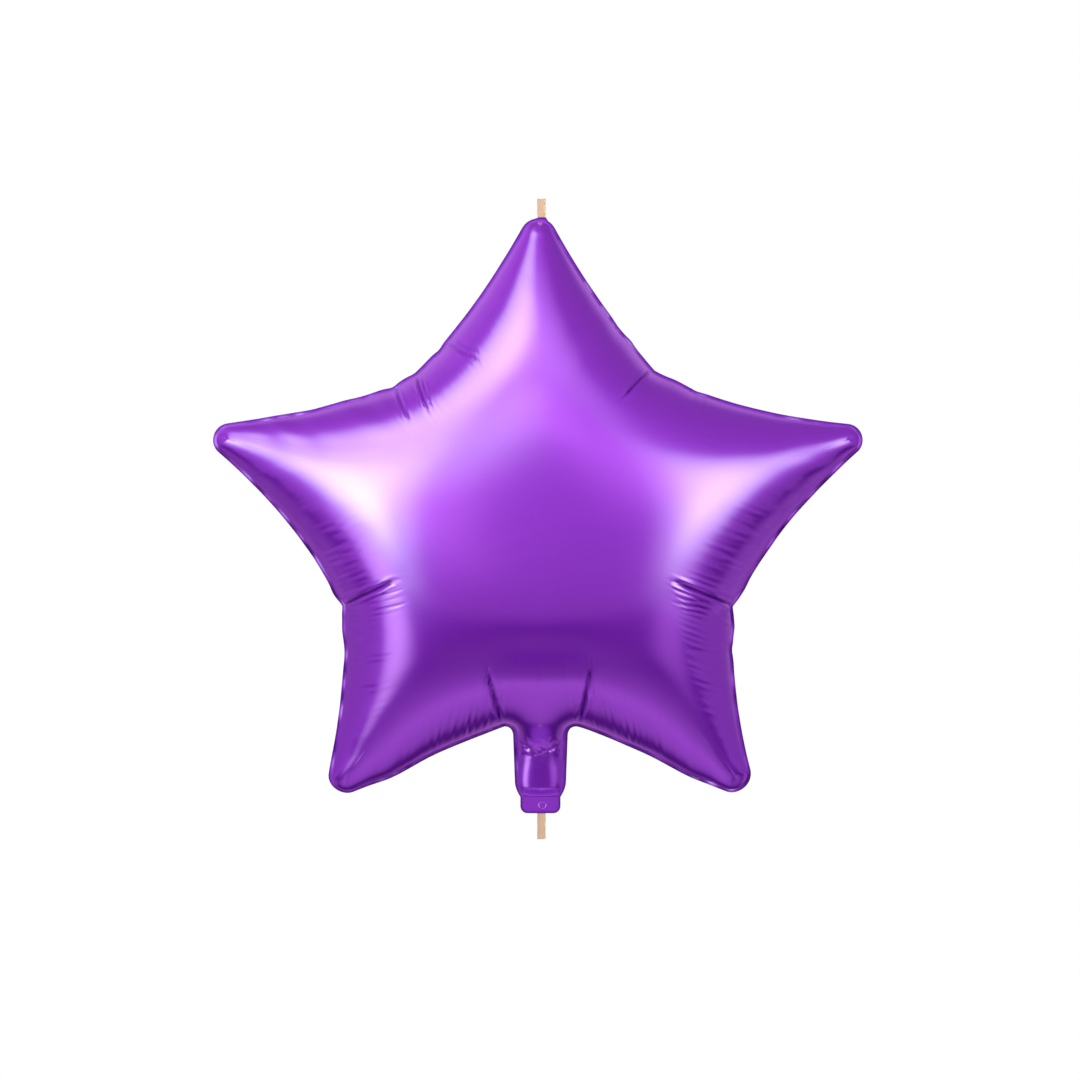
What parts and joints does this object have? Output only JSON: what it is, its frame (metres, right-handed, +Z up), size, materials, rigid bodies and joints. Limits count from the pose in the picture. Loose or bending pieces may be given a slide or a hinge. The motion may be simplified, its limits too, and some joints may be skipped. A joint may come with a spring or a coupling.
{
  "type": "star foil balloon",
  "caption": "Inflated star balloon of violet metallised film, with a welded seam, creased inner corners, a filling tail and flat ribbon ends above and below.",
  "frame": {"origin": "middle of the hanging ribbon's top end, where the balloon hangs from", "axes": "+Z up along the hanging line, +X to the right as seen from the front, the front of the star faces -Y"},
  "size_m": [0.4512, 0.1888, 0.4447],
  "materials": {
    "violet_foil": "satin metallised film",
    "tan_ribbon": "smooth flat ribbon"
  },
  "bodies": {
    "root": {"balloon": "violet_foil", "hanging_ribbon": "tan_ribbon", "tail_ribbon": "tan_ribbon"}
  },
  "joints": []
}
